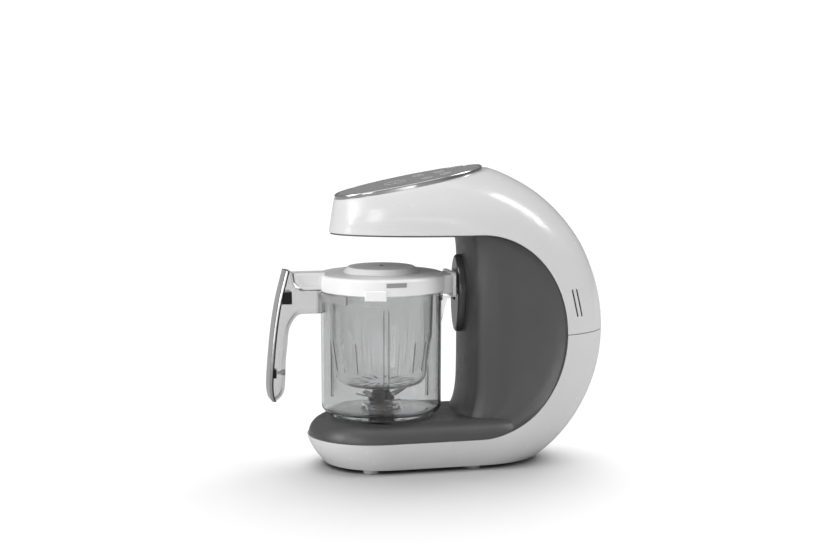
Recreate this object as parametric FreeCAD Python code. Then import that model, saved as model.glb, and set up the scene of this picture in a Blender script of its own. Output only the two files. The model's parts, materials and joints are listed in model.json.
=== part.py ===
import FreeCAD, Part
import math
import os

# Baby food maker: a C-shaped stand that steams food in a jar and blends it there.
# Millimetres. +Z up, the front (jar handle) faces -Y, the floor is z = 0.
# Everything is drawn with the jar's axis on x = y = 0 and moved by OFFSET_Y when it is saved,
# so that the origin ends up at the middle of the footprint.

Vec = FreeCAD.Vector
X_AXIS = Vec(1, 0, 0)
Y_AXIS = Vec(0, 1, 0)
Z_AXIS = Vec(0, 0, 1)

# ---- driving dimensions -------------------------------------------------------------------
WALL = 2.6                   # moulded shell thickness
HALF_WIDTH = 65.5            # half the stand's width
BOTTOM_Z = 4.0               # underside of the lower shell
RIM_Z = 31.0                 # rim of the base tub, where the dark deck starts
BELT_Z = 131.0               # height of the stand's rearmost line and of the parting line
HEAD_Z = 232.0               # underside of the head
BACK_UPPER = (57.4, 170.0)   # back profile above BELT_Z: centre y and radius
BACK_LOWER = (73.4, 154.0)   # back profile below BELT_Z: centre y and radius
BACK_LEN = 70.0              # length of the rounded back end in plan
BASE_FRONT_Y = -74.0         # front of the base rim
BASE_FRONT_LEN = 66.0        # length of the rounded base front in plan
BASE_TAPER_Y = 16.0          # how far the front of the tub draws in towards the floor
BASE_TAPER_X = 8.5           # how far its sides draw in
HEAD_FRONT_Y = -52.0         # front of the head at HEAD_Z
HEAD_MID_Y = 100.0           # where the rounded head front reaches full width
HEAD_LEAN = 0.16             # how far the head's front leans back for each mm of height
PIVOT_Y = -219.0             # the head's sections fan out about this line at HEAD_Z
PANEL_TILT = 10.6            # slope of the control panel, degrees
PANEL_HALF_WIDTH = 45.5      # half width of the head's flat top
PANEL_MID_Y = 32.0           # middle of the head's flat top

OPEN_MID_Y = 85.0            # the C-shaped opening: centre of its rounded back end
OPEN_LEN = 89.0
OPEN_HALF_H = (HEAD_Z - RIM_Z) / 2
OPEN_MID_Z = (HEAD_Z + RIM_Z) / 2

JAR_R = 60.0
SEAT_Z = 47.5                # floor of the jar's seat in the deck
DECK_Z = 49.0                # top of the deck
JAR_TOP_Z = 184.0
LID_R = 63.0
LID_BOTTOM_Z = 174.7          # lower edge of the skirt
LID_RIM_Z = 190.8
DOME_Z = 197.4
MARKER_Z = (183.4, 187.7)    # grey marker let into the lid's skirt
MARKER_BEARING = 90.5        # its place round the lid, degrees from the handle
HANDLE_FRONT_Y = -114.4      # foremost line of the handle, which bows outwards
HANDLE_HALF_W = 12.0
ARM_LOW_Z = 153.4            # underside of the arm between the handle and the jar
ARM_TOP_Z = 176.2            # its top, where the lid's tongue rests
TRIM_T = 2.4                 # bright strip on the handle's front
SPINE_T = 1.4                # dark carrier behind the strip
GRIP_ROUND = 4.0             # rounding of the grip towards the fingers
GRIP_SCREW_Z = 95.8          # screw that holds the strip's carrier
CRADLE_REACH = 45.0          # how far the cradle reaches round the jar to each side, degrees
JAR_WALL = 2.4
JAR_FLOOR_Z = 55.4
COLLAR_Z = 164.4             # lower edge of the jar's collar
BASKET_R = 51.0
BASKET_Z = 80.0
BASKET_TOP_Z = 181.0

COLUMN_Y = 82.0              # front of the column
COLUMN_HALF_W = 47.0         # half width of the column behind its rounded front
BOSS_Z = 168.0               # oval boss on the column, round the steam outlet
BOSS_HALF_H = 39.0
BOSS_HALF_W = 16.0
BOSS_Y = 75.2                # its front face
HOOK_Y = 79.0                # tip of the jar's hook, which presses the interlock pin
HOOK_Z = (162.9, 165.2)
HOOK_SLOT_Z = (161.6, 171.4) # slot in the boss: it lets the jar be lifted off its drive
PIN_Z = 164.0                # interlock pin behind the hook
PIN_TRAVEL = 2.5             # stroke of the pin against its switch
OUTLET_Z = 179.0             # axis of the steam outlet
OUTLET_R = 3.8
FLANGE_Y = 71.5              # face of the lid's steam inlet
STEAM_WAY_R = 4.2            # steam way through the inlet and the jar's wall

MOTOR_Y = 128.0              # motor axis
MOTOR_R = 24.0
MOTOR_Z = (46.0, 104.0)
BELT_LOW_Z = 18.0
BELT_W = 9.0
SMALL_PULLEY_R = 9.0
LARGE_PULLEY_R = 24.0
BELT_T = 1.6
SHAFT_R = 3.0
RUN_FIT = 0.05               # radial clearance of a shaft in its bush
TANK_HALF_W = 21.0
TANK_FRONT_Y = 156.0
TANK_Z = (64.0, 122.0)
BOILER_R = 22.0
BOILER_Y = 133.0             # boiler axis
BOILER_Z = (134.0, 184.0)
PUMP_Z = 150.0
SPINDLE_BUSH_R = 11.0
OUTLET_NUT_R = 6.9
BASE_SCREWS = [(-48, 12), (48, 12), (-48, 60), (48, 60)]
SCREW_HOLE_R = 1.6
SCREW_R = 1.5
PARTING_GAP = 0.25           # half the gap between the two shells
GLAND_R = 5.0
GLAND_X = -34.0
GLAND_Z = 24.0
PANEL_CENTRE_Y = 28.6
PANEL_LEN = 75.5             # half length of the chrome rim
PANEL_W = 43.0               # half width of the chrome rim
PANEL_H = 4.2

BACK_Y = BACK_UPPER[0] + BACK_UPPER[1]
BOSS_TOP_Z = BOSS_Z + BOSS_HALF_H
OFFSET_Y = -(BACK_Y + HANDLE_FRONT_Y) / 2


# ---- drawing helpers ----------------------------------------------------------------------
def save(name, shape):
    """Write one sub-part, moved from the jar's axis to the part's origin."""
    placed = shape.copy()
    placed.translate(Vec(0, OFFSET_Y, 0))
    placed.exportStep("parts/" + name + ".step")


def plan(u, v):
    return Vec(u, v, 0)


def side(u, v):
    return Vec(0, u, v)


def front(u, v):
    return Vec(u, 0, v)


def rounded_face(corners, where):
    """Flat face with straight sides; each corner is (u, v) or (u, v, radius)."""
    points = [Vec(c[0], c[1], 0) for c in corners]
    radii = [c[2] if len(c) > 2 else 0.0 for c in corners]
    rounds = []
    for i, point in enumerate(points):
        before = (points[i - 1] - point).normalize()
        after = (points[(i + 1) % len(points)] - point).normalize()
        half = before.getAngle(after) / 2
        if radii[i] == 0:
            rounds.append((point, None, point))
            continue
        reach = radii[i] / math.tan(half)
        inward = (before + after).normalize()
        middle = point + inward * (radii[i] / math.sin(half) - radii[i])
        rounds.append((point + before * reach, middle, point + after * reach))
    edges = []
    for i, (start, middle, end) in enumerate(rounds):
        if middle is not None:
            edges.append(Part.Arc(where(start.x, start.y), where(middle.x, middle.y),
                                  where(end.x, end.y)).toShape())
        following = rounds[(i + 1) % len(rounds)][0]
        if end.distanceToPoint(following) > 1e-6:
            edges.append(Part.makeLine(where(end.x, end.y), where(following.x, following.y)))
    return Part.Face(Part.Wire(edges))


def turned(corners, x=0.0, y=0.0):
    """Solid of revolution about a vertical axis through (x, y); corners are (radius, z)."""
    solid = rounded_face(corners, front).revolve(Vec(0, 0, 0), Z_AXIS, 360)
    solid.translate(Vec(x, y, 0))
    return solid


def turned_along_y(corners, x, z):
    """Solid of revolution about an axis along Y through (x, z); corners are (radius, y)."""
    solid = rounded_face(corners, plan).revolve(Vec(0, 0, 0), Y_AXIS, 360)
    solid.translate(Vec(x, 0, z))
    return solid


def side_plate(corners, x_low, x_high):
    """Side profile (y, z) given its width from x_low to x_high."""
    face = rounded_face(corners, side)
    face.translate(Vec(x_low, 0, 0))
    return face.extrude(Vec(x_high - x_low, 0, 0))


def block(x, y, z):
    """Box from (low, high) pairs."""
    return Part.makeBox(x[1] - x[0], y[1] - y[0], z[1] - z[0], Vec(x[0], y[0], z[0]))


def rod(radius, start, end):
    return Part.makeCylinder(radius, (end - start).Length, start, end - start)


def tube(radius, bore, start, end):
    return rod(radius, start, end).cut(rod(bore, start, end))


def fused(shapes):
    solid = shapes[0].multiFuse(shapes[1:])
    return solid.removeSplitter()


def group(shapes):
    return Part.makeCompound(shapes)


def mirrored_x(shape):
    return shape.mirror(Vec(0, 0, 0), X_AXIS)


def bent_tube(points, bend_r, radius, bore):
    """Hose along straight runs joined by arcs of one bend radius."""
    edges = []
    start = points[0]
    for before, corner, after in zip(points, points[1:], points[2:]):
        back = (before - corner).normalize()
        on = (after - corner).normalize()
        half = back.getAngle(on) / 2
        reach = bend_r / math.tan(half)
        inward = (back + on).normalize()
        middle = corner + inward * (bend_r / math.sin(half) - bend_r)
        edges.append(Part.makeLine(start, corner + back * reach))
        edges.append(Part.Arc(corner + back * reach, middle, corner + on * reach).toShape())
        start = corner + on * reach
    edges.append(Part.makeLine(start, points[-1]))
    path = Part.Wire(edges)
    heading = (points[1] - points[0]).normalize()
    skins = []
    for r in (radius, bore):
        circle = Part.Wire(Part.makeCircle(r, points[0], heading))
        skins.append(path.makePipeShell([circle], True, True))
    return skins[0].cut(skins[1])


# ---- the stand's outer form ---------------------------------------------------------------
def even_outline(corners_x_y, count):
    """Pick evenly spaced points along a dense closed outline."""
    lengths = [0.0]
    closed = corners_x_y + [corners_x_y[0]]
    for a, b in zip(closed, closed[1:]):
        lengths.append(lengths[-1] + math.dist(a, b))
    picked = []
    j = 0
    for i in range(count):
        target = lengths[-1] * i / count
        while lengths[j + 1] < target:
            j += 1
        share = (target - lengths[j]) / (lengths[j + 1] - lengths[j])
        a, b = closed[j], closed[j + 1]
        picked.append((a[0] + (b[0] - a[0]) * share, a[1] + (b[1] - a[1]) * share))
    return picked


def oval_wire(front_y, front_mid, half_width, back_mid, back_y, where, count=36):
    """Closed smooth outline: half ellipse in front, straight sides, half ellipse behind."""
    steps = 60
    dense = []
    for i in range(steps + 1):
        turn = math.pi * i / steps
        dense.append((-half_width * math.sin(turn), back_mid + (back_y - back_mid) * math.cos(turn)))
    dense = [(x, y) for x, y in dense if y >= back_mid - 1e-9]
    left = dense
    right = [(-x, y) for x, y in reversed(dense)][:-1]
    nose = []
    for i in range(steps + 1):
        turn = math.pi * i / steps
        nose.append((-half_width * math.cos(turn), front_mid - (front_mid - front_y) * math.sin(turn)))
    outline = left + nose + right
    points = [where(x, y) for x, y in even_outline(outline, count)]
    curve = Part.BSplineCurve()
    curve.interpolate(Points=points, PeriodicFlag=True, Parameters=list(range(count + 1)))
    return Part.Wire(curve.toShape())


def back_at(z, inset):
    """Y of the stand's back profile at a height."""
    mid_y, radius = BACK_UPPER if z >= BELT_Z else BACK_LOWER
    return mid_y + math.sqrt((radius - inset) ** 2 - (z - BELT_Z) ** 2)


def level_section(z, inset):
    """Horizontal section of the stand's outer form, drawn in by inset."""
    rise = (z - RIM_Z) / (HEAD_Z - RIM_Z)
    front_y = BASE_FRONT_Y + (HEAD_FRONT_Y - BASE_FRONT_Y) * max(rise, 0)
    half_width = HALF_WIDTH
    front_mid = BASE_FRONT_Y + BASE_FRONT_LEN
    front_mid += (HEAD_MID_Y - front_mid) * max(rise, 0)
    if z < RIM_Z:
        drop = (RIM_Z - z) / (RIM_Z - BOTTOM_Z)
        front_y += BASE_TAPER_Y * drop ** 1.5
        half_width -= BASE_TAPER_X * drop ** 2
        front_mid = front_y + BASE_FRONT_LEN * half_width / HALF_WIDTH
    back_y = back_at(z, 0)
    return oval_wire(front_y + inset, front_mid, half_width - inset, back_y - BACK_LEN, back_y - inset,
                     lambda x, y: Vec(x, y, z))


def head_section(tilt, inset):
    """Section of the head on a plane that rises towards the back at tilt degrees."""
    slope = math.radians(tilt)
    share = tilt / PANEL_TILT
    front_y = (HEAD_FRONT_Y - HEAD_LEAN * math.tan(slope) * PIVOT_Y) / (1 - HEAD_LEAN * math.tan(slope))
    mid_y, radius = BACK_UPPER
    # distance from the pivot line to the back profile, measured along the plane
    to_mid = (mid_y - PIVOT_Y) * math.cos(slope) + (BELT_Z - HEAD_Z) * math.sin(slope)
    off_mid = (mid_y - PIVOT_Y) ** 2 + (BELT_Z - HEAD_Z) ** 2 - to_mid ** 2
    reach = to_mid + math.sqrt(radius ** 2 - off_mid)
    near = (front_y - PIVOT_Y) / math.cos(slope)
    front_mid = (HEAD_MID_Y + (PANEL_MID_Y - HEAD_MID_Y) * share - PIVOT_Y) / math.cos(slope)
    half_width = HALF_WIDTH - (HALF_WIDTH - PANEL_HALF_WIDTH) * share ** 2.3
    return oval_wire(near + inset, front_mid, half_width - inset, reach - BACK_LEN, reach - inset,
                     lambda x, s: Vec(x, PIVOT_Y + s * math.cos(slope), HEAD_Z + s * math.sin(slope)))


def stand_form(inset, bottom, top_drop):
    """The stand as one egg-like body, before its opening is cut, drawn in by inset."""
    heights = [bottom, 9, 17, RIM_Z, 60, 95, BELT_Z, 165, 200, HEAD_Z]
    tilts = [3.5, 6.5, 9.0, PANEL_TILT - top_drop]
    wires = [level_section(z, inset) for z in heights]
    wires += [head_section(tilt, inset) for tilt in tilts]
    return Part.makeLoft(wires, True, False)


def opening_form(grow):
    """The C-shaped opening as a bar across the whole width."""
    top = OPEN_MID_Z + OPEN_HALF_H + grow
    low = OPEN_MID_Z - OPEN_HALF_H - grow
    curve = Part.Ellipse(Vec(0, OPEN_MID_Y, top), Vec(0, OPEN_MID_Y + OPEN_LEN + grow, OPEN_MID_Z),
                         Vec(0, OPEN_MID_Y, OPEN_MID_Z))
    oval = Part.Face(Part.Wire(curve.toShape()))
    oval.translate(Vec(-100, 0, 0))
    bar = oval.extrude(Vec(200, 0, 0))
    return bar.fuse(block((-100, 100), (-150, OPEN_MID_Y), (low, top))).removeSplitter()


# ---- shells -------------------------------------------------------------------------------
def stand_shell():
    """White shell of the whole stand, still in one piece, with a bare underside."""
    outer = stand_form(0, BOTTOM_Z, 0)
    inner = stand_form(WALL, BOTTOM_Z - 1, 0.65)
    return outer.cut(inner).cut(opening_form(0))


def vent_slots():
    """Two slanted slots in each side of the upper shell, near its back."""
    cuts = []
    for start_y in (178.8, 184.0):
        slot = block((40, 80), (-0.8, 0.8), (-14, 14))
        slot.rotate(Vec(0, 0, 0), X_AXIS, 13)
        slot.translate(Vec(0, start_y + 3.2, 161.8))
        cuts += [slot, mirrored_x(slot)]
    return group(cuts)


def panel_place(shape):
    """Move a shape drawn flat on z = 0 about the panel's centre onto the sloping head top."""
    shape.rotate(Vec(0, 0, 0), X_AXIS, PANEL_TILT)
    mid = PANEL_CENTRE_Y
    shape.translate(Vec(0, mid, HEAD_Z + (mid - PIVOT_Y) * math.tan(math.radians(PANEL_TILT))))
    return shape


def oval_disc(half_len, half_width, low, height):
    curve = Part.Ellipse(Vec(0, half_len, low), Vec(half_width, 0, low), Vec(0, 0, low))
    return Part.Face(Part.Wire(curve.toShape())).extrude(Vec(0, 0, height))


def screw_posts():
    """Posts inside the tub that take the base screws."""
    posts = []
    for x, y in BASE_SCREWS:
        posts.append(Part.makeCylinder(5, 26, Vec(x, y, 7.2)))
        rib_x = (x, 62) if x > 0 else (-62, x)
        posts.append(block(rib_x, (y - 1.2, y + 1.2), (8.5, 30)))
    return posts


def tank_bay(grow):
    """Bay for the water tank, open through the back of the lower shell."""
    half = TANK_HALF_W + grow
    face = rounded_face([(-half, TANK_Z[0] - grow, 7), (half, TANK_Z[0] - grow, 7),
                         (half, TANK_Z[1] + grow, 7), (-half, TANK_Z[1] + grow, 7)], front)
    face.translate(Vec(0, TANK_FRONT_Y, 0))
    return face.extrude(Vec(0, 120, 0))


def make_shells():
    shell = stand_shell()
    above = block((-100, 100), (-200, 300), (BELT_Z + PARTING_GAP, 400))
    below = block((-100, 100), (-200, 300), (-10, BELT_Z - PARTING_GAP))
    upper = shell.common(above).cut(vent_slots())
    window = panel_place(oval_disc(PANEL_LEN - 6, PANEL_W - 6, -12, 30))
    save("upper_shell", upper.cut(window))
    lower = shell.common(below)
    inside = stand_form(1.0, BOTTOM_Z - 1, 0.65)
    posts = fused(screw_posts()).common(inside)
    lower = lower.fuse(posts)
    for x, y in BASE_SCREWS:
        lower = lower.cut(Part.makeCylinder(SCREW_HOLE_R, 22, Vec(x, y, 0)))
    gland_hole = rod(GLAND_R + 0.1, Vec(GLAND_X, 130, GLAND_Z), Vec(GLAND_X, 215, GLAND_Z))
    lower = lower.cut(tank_bay(0.5)).cut(gland_hole)
    save("lower_shell", lower)


def make_base():
    low = level_section(BOTTOM_Z, WALL + 0.4)
    plate = Part.Face(low).extrude(Vec(0, 0, 2.6))
    heads = []
    for x, y in BASE_SCREWS:
        plate = plate.cut(Part.makeCylinder(SCREW_HOLE_R, 10, Vec(x, y, 0)))
        plate = plate.cut(Part.makeCylinder(3.2, 1.5, Vec(x, y, BOTTOM_Z)))
        head = Part.makeCylinder(3.0, 1.4, Vec(x, y, BOTTOM_Z))
        heads.append(head.fuse(Part.makeCylinder(SCREW_R, 14, Vec(x, y, BOTTOM_Z + 1.4))).removeSplitter())
    for y in (30, 36, 42, 48, 54, 60):
        plate = plate.cut(block((-16, 16), (y, y + 2.5), (0, 20)))
    save("base_plate", plate)
    save("base_screws", group(heads))
    feet = []
    for x in (-45, 45):
        for y in (-21, 82):
            feet.append(turned([(0, 0), (7.4, 0, 1.0), (8.4, BOTTOM_Z), (0, BOTTOM_Z)], x, y))
    save("rubber_feet", group(feet))


# ---- dark inner cover ---------------------------------------------------------------------
def opening_back_y(z, grow=0.0):
    """Back end of the C-shaped opening at a height."""
    rise = (z - OPEN_MID_Z) / (OPEN_HALF_H + grow)
    return OPEN_MID_Y + (OPEN_LEN + grow) * math.sqrt(max(0.0, 1 - rise ** 2))


def column_front_y(z):
    """The column's front leans forward a little at the top and flares into the deck below."""
    lean = 5.0 * max(0.0, (z - BOSS_TOP_Z) / (HEAD_Z - BOSS_TOP_Z))
    flare = 34.0 * math.exp(-(z - RIM_Z) / 12.0)
    return COLUMN_Y - lean - flare


def column_section(z, inset):
    """Plan section of the column: rounded front, waist, then cheeks that flare to the shell."""
    nose = column_front_y(z) + inset
    edge = opening_back_y(z)
    depth = edge - COLUMN_Y + 12.0
    waist = COLUMN_HALF_W - inset
    cheek = HALF_WIDTH + 1.5 - inset
    nose_len = 14.0
    right = [(0, nose)]
    for turn in (22, 45, 66):
        angle = math.radians(turn)
        right.append((waist * 0.94 * math.sin(angle), nose + nose_len * (1 - math.cos(angle))))
    start = nose + nose_len
    right.append((waist * 0.99, start + 0.10 * (edge - start)))
    right.append((waist * 1.03, start + 0.32 * (edge - start)))
    right.append((waist * 1.10, start + 0.58 * (edge - start)))
    right.append((waist * 1.21, start + 0.82 * (edge - start)))
    right.append((cheek, edge + 1.0))
    points = [Vec(-x, y, z) for x, y in reversed(right[1:])] + [Vec(x, y, z) for x, y in right]
    curve = Part.BSplineCurve()
    curve.interpolate(Points=points, Parameters=list(range(len(points))))
    far_y = 260.0
    right_back = Vec(cheek, far_y, z)
    left_back = Vec(-cheek, far_y, z)
    return Part.Wire([curve.toShape(), Part.makeLine(points[-1], right_back),
                      Part.makeLine(right_back, left_back), Part.makeLine(left_back, points[0])])


def column_form(inset):
    heights = [RIM_Z - 1, 36, 42, 50, 60, 75, 95, 125, 160, 190, 210, HEAD_Z - 2.5]
    return Part.makeLoft([column_section(z, inset) for z in heights], True, False)


def deck_form(inset):
    """Crowned deck: it rises from the tub's rim to the jar's seat in a quarter oval."""
    crown_h = DECK_Z - RIM_Z
    crown_w = 21.0
    wires = []
    for share in (0, 0.3, 0.55, 0.76, 0.91, 1.0):
        z = RIM_Z + crown_h * share
        draw_in = crown_w * (1 - math.sqrt(1 - (share * 0.985) ** 2))
        half = HALF_WIDTH - 1.2 - draw_in - inset
        nose = BASE_FRONT_Y + 1.2 + draw_in + inset
        wires.append(oval_wire(nose, BASE_FRONT_Y + BASE_FRONT_LEN, half, 110, 160,
                               lambda x, y, z=z: Vec(x, y, z - inset)))
    return Part.makeLoft(wires, True, False)


def make_inner_cover():
    limits = opening_form(-0.5).common(stand_form(1.0, BOTTOM_Z, 0.3))
    floor_cut = block((-100, 100), (-200, 300), (0, RIM_Z + 0.2))
    outer = deck_form(0).fuse(column_form(0)).common(limits).cut(floor_cut)
    cover = outer.cut(column_form(WALL)).cut(deck_form(WALL))
    cover = cover.cut(turned([(0, SEAT_Z), (51, SEAT_Z), (51, 60), (0, 60)]))
    cover = cover.cut(rod(SPINDLE_BUSH_R + 0.1, Vec(0, 0, 30), Vec(0, 0, 60)))
    cover = cover.cut(rod(OUTLET_NUT_R + 0.1, Vec(0, 70, OUTLET_Z), Vec(0, 110, OUTLET_Z)))
    cover = cover.cut(hook_slot(110))
    save("inner_cover", cover.removeSplitter())
    plate_t = 1.4
    wire = level_section(HEAD_Z, 1.2)
    wire.translate(Vec(0, 0, -plate_t - 0.1))
    plate = Part.Face(wire).extrude(Vec(0, 0, plate_t))
    plate = plate.cut(block((-100, 100), (OPEN_MID_Y - 8.5, 400), (0, 400)))
    save("head_underplate", plate)


def hook_slot(back_y):
    """Upright slot that the jar's hook enters, down to back_y."""
    return block((-3.4, 3.4), (70, back_y), HOOK_SLOT_Z)


# ---- control panel ------------------------------------------------------------------------
def make_panel():
    ring = oval_disc(PANEL_LEN, PANEL_W, 0.1, PANEL_H)
    top_edges = [e for e in ring.Edges if e.BoundBox.ZMin > PANEL_H]
    ring = ring.makeFillet(1.6, top_edges)
    ring = ring.cut(oval_disc(PANEL_LEN - 2.6, PANEL_W - 2.6, 0, 10))
    save("panel_rim", panel_place(ring))
    fascia = oval_disc(PANEL_LEN - 2.9, PANEL_W - 2.9, 0.1, PANEL_H - 0.2)
    top_edges = [e for e in fascia.Edges if e.BoundBox.ZMin > PANEL_H - 0.5]
    save("panel_fascia", panel_place(fascia.makeFillet(0.8, top_edges)))
    board = block((-28, 28), (-45, 40), (-3.2, -1.6))
    parts = [block((-8, 8), (-20, -4), (-5.0, -3.2)), block((12, 22), (5, 20), (-7.0, -3.2))]
    for y in (-36, -28, 14, 28):
        parts.append(Part.makeCylinder(3, 4, Vec(-18, y, -7.2)))
    save("control_board", panel_place(fused([board] + parts)))


# ---- steam side ---------------------------------------------------------------------------
def make_steam_parts():
    curve = Part.Ellipse(Vec(0, 0, BOSS_HALF_H), Vec(BOSS_HALF_W, 0, 0), Vec(0, 0, 0))
    boss = Part.Face(Part.Wire(curve.toShape())).extrude(Vec(0, 20, 0))
    boss.translate(Vec(0, BOSS_Y, BOSS_Z))
    boss = boss.makeFillet(3.0, [e for e in boss.Edges if e.BoundBox.YMax < BOSS_Y + 0.1])
    boss = boss.cut(column_form(-0.1)).cut(hook_slot(110))
    boss = boss.cut(rod(OUTLET_NUT_R + 0.1, Vec(0, 70, OUTLET_Z), Vec(0, 110, OUTLET_Z)))
    save("steam_boss", boss)
    outlet = turned_along_y([(OUTLET_R, BOSS_Y - 0.4), (OUTLET_NUT_R, BOSS_Y - 0.4), (OUTLET_NUT_R, 93),
                             (5.2, 93), (5.2, 101), (OUTLET_R, 101)], 0, OUTLET_Z)
    save("steam_outlet", outlet)
    seal = turned_along_y([(OUTLET_R, FLANGE_Y + 0.4), (6.4, FLANGE_Y + 0.4, 0.5), (5.4, FLANGE_Y + 1.9),
                           (6.6, BOSS_Y - 0.5), (OUTLET_R, BOSS_Y - 0.5)], 0, OUTLET_Z)
    save("outlet_seal", seal)
    body = turned([(0, BOILER_Z[0]), (BOILER_R, BOILER_Z[0], 3), (BOILER_R, BOILER_Z[1], 5),
                   (0, BOILER_Z[1])], 0, BOILER_Y)
    hollow = turned([(0, BOILER_Z[0] + 5), (BOILER_R - 3, BOILER_Z[0] + 5), (BOILER_R - 3, BOILER_Z[1] - 3),
                     (0, BOILER_Z[1] - 3)], 0, BOILER_Y)
    port_end = BOILER_Y - BOILER_R
    port = tube(5.0, 3.5, Vec(0, port_end - 5, OUTLET_Z), Vec(0, port_end + 4, OUTLET_Z))
    inlet = tube(4.0, 2.5, Vec(0, BOILER_Y, BOILER_Z[1] - 2), Vec(0, BOILER_Y, BOILER_Z[1] + 5))
    body = body.cut(hollow).cut(rod(4.9, Vec(0, port_end - 9, OUTLET_Z), Vec(0, BOILER_Y - 10, OUTLET_Z)))
    body = body.cut(rod(3.9, Vec(0, BOILER_Y, BOILER_Z[1] - 8), Vec(0, BOILER_Y, BOILER_Z[1] + 2)))
    save("boiler", fused([body, port, inlet]))
    hose = fused([tube(7.4, 5.25, Vec(0, 94, OUTLET_Z), Vec(0, 101.1, OUTLET_Z)),
                  tube(7.4, 5.05, Vec(0, 101.1, OUTLET_Z), Vec(0, 102.6, OUTLET_Z)),
                  tube(7.0, 5.05, Vec(0, 102.5, OUTLET_Z), Vec(0, port_end - 0.2, OUTLET_Z))])
    save("steam_hose", hose)
    coil_z = BOILER_Z[0] - 2.0
    coil = Part.makeTorus(14.0, 1.95, Vec(0, BOILER_Y, coil_z))
    leads = [rod(1.5, Vec(x, BOILER_Y - 12.6, coil_z), Vec(x, BOILER_Y - 24, coil_z)) for x in (-6, 6)]
    save("heating_element", fused([coil] + leads))
    side_x = -BOILER_R
    disc = rod(8.0, Vec(side_x - 3.2, BOILER_Y, 163), Vec(side_x + 0.3, BOILER_Y, 163))
    boss = rod(5.0, Vec(side_x - 7, BOILER_Y, 163), Vec(side_x - 3.1, BOILER_Y, 163))
    drum = Part.makeCylinder(BOILER_R + 0.05, 60, Vec(0, BOILER_Y, 130))
    save("thermostat", disc.fuse(boss).cut(drum).removeSplitter())


def make_water_parts():
    skin = stand_form(0, BOTTOM_Z, 0)
    body = tank_bay(0).common(skin)
    hollow_half = TANK_HALF_W - 2.0
    inside = rounded_face([(-hollow_half, TANK_Z[0] + 2, 5), (hollow_half, TANK_Z[0] + 2, 5),
                           (hollow_half, TANK_Z[1] - 2, 5), (-hollow_half, TANK_Z[1] - 2, 5)], front)
    inside.translate(Vec(0, TANK_FRONT_Y + 2, 0))
    inside = inside.extrude(Vec(0, 80, 0)).common(stand_form(3.0, BOTTOM_Z, 0))
    body = body.cut(inside).cut(rod(9.0, Vec(0, 188, TANK_Z[1] - 4), Vec(0, 188, TANK_Z[1] + 4)))
    grip_z = 93.0
    grip = turned_along_y([(0, 212), (12, 218, 3), (15, 236), (0, 236)], 0, grip_z)
    pocket = turned_along_y([(0, 209.8), (14.2, 216), (17, 238), (0, 238)], 0, grip_z)
    wall = pocket.common(skin).cut(grip)
    body = body.cut(grip).fuse(wall).removeSplitter()
    port_z = 113.0
    body = body.cut(rod(4.0, Vec(0, TANK_FRONT_Y - 2, port_z), Vec(0, TANK_FRONT_Y + 5, port_z)))
    save("water_tank", body)
    cap = turned([(0, TANK_Z[1] - 3.5), (8.8, TANK_Z[1] - 3.5, 0.8), (8.8, TANK_Z[1] + 0.05),
                  (0, TANK_Z[1] + 0.05)], 0, 188)
    save("tank_cap", cap)
    stem = fused([rod(3.8, Vec(0, TANK_FRONT_Y - 0.1, port_z), Vec(0, TANK_FRONT_Y + 5, port_z)),
                  rod(5.5, Vec(0, TANK_FRONT_Y + 2.1, port_z), Vec(0, TANK_FRONT_Y + 4, port_z))])
    save("tank_valve", stem)
    socket = block((-8, 8), (TANK_FRONT_Y - 5.5, TANK_FRONT_Y - 0.6), (port_z - 6, port_z + 7))
    socket = socket.cut(rod(3.9, Vec(0, TANK_FRONT_Y - 3, port_z), Vec(0, TANK_FRONT_Y, port_z)))
    save("tank_socket", socket)
    pump = fused([rod(13, Vec(0, 170, PUMP_Z), Vec(0, 206, PUMP_Z)),
                  block((-11, 11), (176, 200), (PUMP_Z - 16, PUMP_Z)),
                  rod(3.0, Vec(0, 164, PUMP_Z), Vec(0, 171, PUMP_Z)),
                  rod(3.0, Vec(0, 188, PUMP_Z + 12), Vec(0, 188, PUMP_Z + 19))])
    save("water_pump", pump)
    feed = bent_tube([Vec(0, 153, port_z + 7), Vec(0, 153, 128), Vec(0, 159, 138),
                      Vec(0, 159, PUMP_Z), Vec(0, 164, PUMP_Z)], 2.4, 2.2, 1.2)
    save("feed_hose", feed)
    rise = bent_tube([Vec(0, 188, PUMP_Z + 19), Vec(0, 188, 199), Vec(0, BOILER_Y, 199),
                      Vec(0, BOILER_Y, BOILER_Z[1] + 5)], 8, 3.4, 2.0)
    save("boiler_hose", rise)


# ---- drive --------------------------------------------------------------------------------
def pulley(radius, low, high, y, bore):
    flange = radius + 2.2
    body = turned([(bore, low), (flange, low, 0.5), (flange, low + 1.4), (radius, low + 1.4),
                   (radius, high - 1.4), (flange, high - 1.4), (flange, high, 0.5), (bore, high)], 0, y)
    return body


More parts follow.
